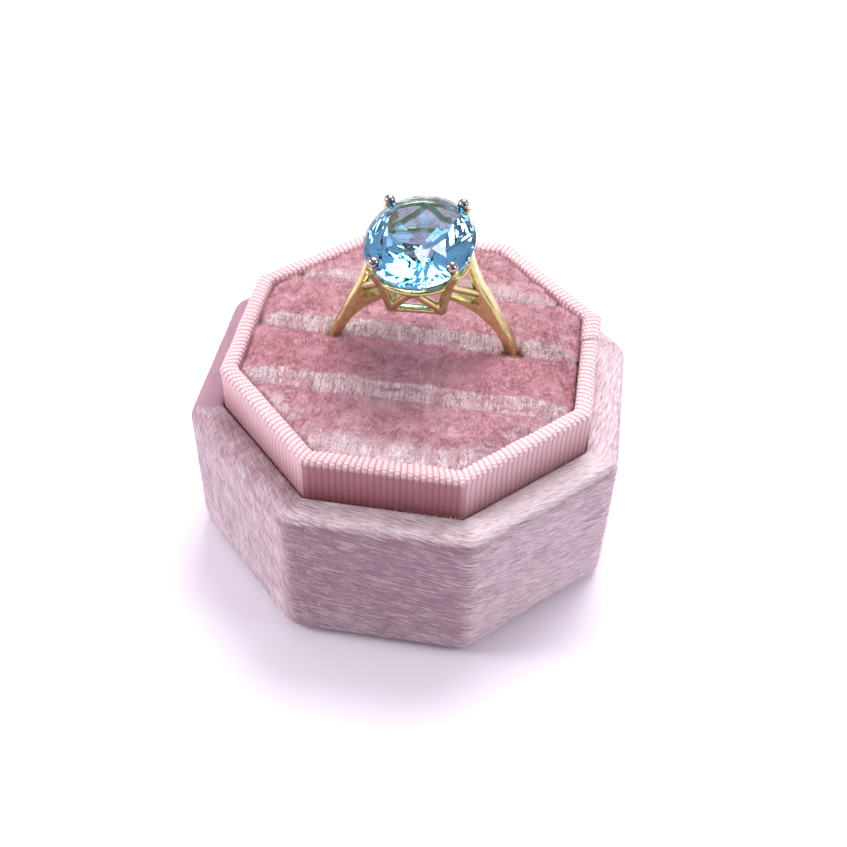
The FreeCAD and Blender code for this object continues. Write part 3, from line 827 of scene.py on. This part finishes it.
CAST_VOXEL, CAST_PASSES = 0.09, 10
basket = cast_copy("ring_basket", CAST_VOXEL, CAST_PASSES)
wear(basket, gold)
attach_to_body(basket, "ring")
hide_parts("ring_basket")

wear(nodes["claw_tips"], silver_paint())
nodes["claw_tips"].data.shade_smooth()

STONE_A, STONE_B, STONE_GIRDLE_Z = 6.1, 8.3, 16.9
UNEVEN_CUT = 0.7  # of the facets under the girdle, in shares of a facet
UNEVEN_SIZE, UNEVEN_DEPTH = 0.05, 0.3
CUT_SEED = 34
RING_YAW, RING_TIP = 1.8, -2.5  # degrees, as it leans in its slot
FACET_RINGS = (  # corners, turn in shares of a corner, size, height over the top of the girdle
    (12, 0.0, 0.58, 1.88), (12, 0.5, 0.80, 1.20), (24, 0.0, 0.93, 0.56),
    (72, 0.0, 1.0, 0.0), (72, 0.0, 1.0, -0.35),
    (24, 0.5, 0.90, -1.15), (20, 0.0, 0.75, -2.15), (16, 0.5, 0.58, -3.05), (13, 0.0, 0.40, -3.90),
    (9, 0.5, 0.22, -4.68), (6, 0.0, 0.06, -5.32),
)


def cut_stone():
    """The stone's mesh: the hull of rings of points, so that every facet is flat."""
    ring_axes = (Matrix.Translation(Vector((RING_X, SLOT_MID_Y, RING_Z)) * MM)
                 @ Matrix.Rotation(math.radians(RING_YAW), 4, "Z")
                 @ Matrix.Rotation(math.radians(RING_TIP), 4, "Y"))
    shape = bmesh.new()
    cutter = np.random.default_rng(CUT_SEED)
    for count, turn, size, height in FACET_RINGS:
        uneven = UNEVEN_CUT if height < -1 else 0.0
        for step in range(count):
            angle = 2 * math.pi * (step + turn + uneven * cutter.uniform(-1, 1)) / count
            cut = size * (1 + UNEVEN_SIZE * uneven * cutter.uniform(-1, 1))
            depth = STONE_GIRDLE_Z + height + uneven * UNEVEN_DEPTH * cutter.uniform(-1, 1)
            spot = (STONE_A * cut * math.cos(angle), STONE_B * cut * math.sin(angle), depth)
            shape.verts.new(ring_axes @ (Vector(spot) * MM))
    bmesh.ops.convex_hull(shape, input=shape.verts)
    bmesh.ops.recalc_face_normals(shape, faces=shape.faces)
    mesh = bpy.data.meshes.new("stone")
    shape.to_mesh(mesh)
    shape.free()
    return mesh


stone = bpy.data.objects.new("stone", cut_stone())
scene.collection.objects.link(stone)
wear(stone, glass_paint())
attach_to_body(stone, "ring")
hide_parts("gemstone")


# --- What the cloth hides ----------------------------------------------------------------------
def hidden_paint(name, dark, light, scale, detail, depth, rough):
    paint = Paint(name, Roughness=rough)
    grain = paint.noise(paint.place(), scale, detail, 0.6)
    paint.set(Base_Color=paint.mix(paint.spread(grain, 0.35, 0.65), dark, light),
              Normal=paint.bump(grain, depth))
    return paint


greyboard = hidden_paint("greyboard", tint(136, 130, 122), tint(178, 172, 162), 1.4, 5.0, 0.05, 0.9)
paper = hidden_paint("gummed_paper", tint(188, 156, 112), tint(206, 178, 134), 2.4, 4.0, 0.02, 0.7)
foam = hidden_paint("foam", tint(226, 216, 196), tint(246, 240, 226), 2.6, 3.0, 0.15, 0.95)
felt = hidden_paint("lining_felt", tint(150, 112, 126), tint(188, 152, 166), 3.0, 5.0, 0.08, 0.95)
for name in ("outer_wall", "base_board", "collar_board", "insert_card"):
    wear(nodes[name], greyboard)
for name in ("wall_joint_tape", "collar_joint_tape"):
    wear(nodes[name], paper)
for name in ("roll_foam_front", "roll_foam_mid_front", "roll_foam_mid_back", "roll_foam_back"):
    wear(nodes[name], foam)

RISER_HALF, RISER_LOW, RISER_TOP = reach_of("riser_block")
RISER_VOXEL = 0.8
riser = block("riser_foam", octagon_slice(RISER_HALF, -30, 30), RISER_LOW, RISER_TOP, RISER_VOXEL,
              lambda first, second: 0.5 if abs(first[2] - second[2]) < 1 else 1.0)
still = points_of(riser)
uneven = 0.06 * waves(still, 5, 81) + 0.04 * waves(still, 1.8, 82) - 0.08
set_points(riser, still + normals_of(riser) * uneven[:, None])
wear(riser, foam)
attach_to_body(riser, "base")
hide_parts("riser_block")

FELT_HALF, FELT_LOW, FELT_TOP = reach_of("bottom_cover")
FELT_HOLE = 0.05  # half width of the pinhole in the middle of its closed profile
felt_corners = [(FELT_HOLE, FELT_TOP, 0.0, 1.0), (FELT_HALF, FELT_TOP, 0.15, 1.0),
                (FELT_HALF, FELT_LOW, 0.15, 1.0), (FELT_HOLE, FELT_LOW, 0.0, 1.0)]
felt_path = soft_path(felt_corners)
under = wound("felt_cover", felt_path, np.minimum(2.0, 0.5 * felt_path[:, 0]), 256, 0.9)[0]
still = points_of(under)
still[:, 2] += 0.03 * np.clip(waves(still, 4, 91), 0, 1) * (still[:, 2] < 0.3)
set_points(under, still)
wear(under, felt)
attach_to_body(under, "base")
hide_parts("bottom_cover")

# --- Floor, light and camera -------------------------------------------------------------------
FLOOR_HALF = 900
SKY_LEAN, SKY_LEVEL, SKY_LEAST = (0.05, 0.40, 0.33), 0.235, 0.15
SKY_COLOUR = (0.98, 0.97, 1.0, 1.0)
AZIMUTH, ELEVATION, ROLL = math.radians(7.845), math.radians(45.055), math.radians(1.841)
CAMERA_PLACE, LENS_MM, SENSOR_MM = (15.36, -102.3, 115.5), 49.64, 36.0

floor_corners = [(x * FLOOR_HALF, y * FLOOR_HALF, 0) for x, y in ((-1, -1), (1, -1), (1, 1), (-1, 1))]
floor = make_object("floor", floor_corners, [(0, 1, 2, 3)])
table = Paint("table", Roughness=0.7, Specular_IOR_Level=0.2)
table.set(Base_Color=tint(250, 242, 255))
wear(floor, table)


def studio_sky():
    """A plain sky, brighter to the back and above than to the front and below."""
    world = bpy.data.worlds.new("studio")
    scene.world = world
    world.use_nodes = True
    tree = world.node_tree
    sky = tree.nodes["Background"]
    facing = tree.nodes.new("ShaderNodeTexCoord")
    lean = tree.nodes.new("ShaderNodeVectorMath")
    lean.operation = "DOT_PRODUCT"
    tree.links.new(facing.outputs["Generated"], lean.inputs[0])
    lean.inputs[1].default_value = SKY_LEAN
    strength = lean.outputs["Value"]
    for operation, amount in (("ADD", SKY_LEVEL), ("MAXIMUM", SKY_LEAST)):
        maths = tree.nodes.new("ShaderNodeMath")
        maths.operation = operation
        tree.links.new(strength, maths.inputs[0])
        maths.inputs[1].default_value = amount
        strength = maths.outputs[0]
    tree.links.new(strength, sky.inputs["Strength"])
    sky.inputs["Color"].default_value = SKY_COLOUR


def lamp(name, place_mm, aim_mm, size_mm, power):
    data = bpy.data.lights.new(name, "AREA")
    data.shape = "DISK"
    data.size = size_mm * MM
    data.energy = power
    obj = bpy.data.objects.new(name, data)
    scene.collection.objects.link(obj)
    obj.location = Vector(place_mm) * MM
    obj.rotation_euler = (Vector(aim_mm) - Vector(place_mm)).to_track_quat("-Z", "Y").to_euler()


studio_sky()
lamp("softbox_back", (40, 200, 360), (0, 0, 10), 260, 1.7)
lamp("softbox_right", (330, -20, 190), (0, 0, 10), 160, 0.32)
lamp("softbox_front", (-120, -330, 230), (0, 0, 30), 120, 0.11)
lamp("softbox_left", (-330, -60, 190), (0, 0, 10), 160, 0.85)


def place_camera():
    """The camera, turned from the front by AZIMUTH, looking down by ELEVATION and tilted by ROLL."""
    back = Vector((math.sin(AZIMUTH) * math.cos(ELEVATION), -math.cos(AZIMUTH) * math.cos(ELEVATION),
                   math.sin(ELEVATION)))
    right = Vector((math.cos(AZIMUTH), math.sin(AZIMUTH), 0))
    up = back.cross(right)
    level_right = math.cos(ROLL) * right + math.sin(ROLL) * up
    level_up = -math.sin(ROLL) * right + math.cos(ROLL) * up
    turned = Matrix((level_right, level_up, back)).transposed().to_4x4()
    data = bpy.data.cameras.new("camera")
    data.lens = LENS_MM
    data.sensor_width = SENSOR_MM
    data.clip_start = MM
    camera = bpy.data.objects.new("camera", data)
    scene.collection.objects.link(camera)
    camera.matrix_world = Matrix.Translation(Vector(CAMERA_PLACE) * MM) @ turned
    return camera


scene.camera = place_camera()
scene.view_settings.view_transform = "Standard"
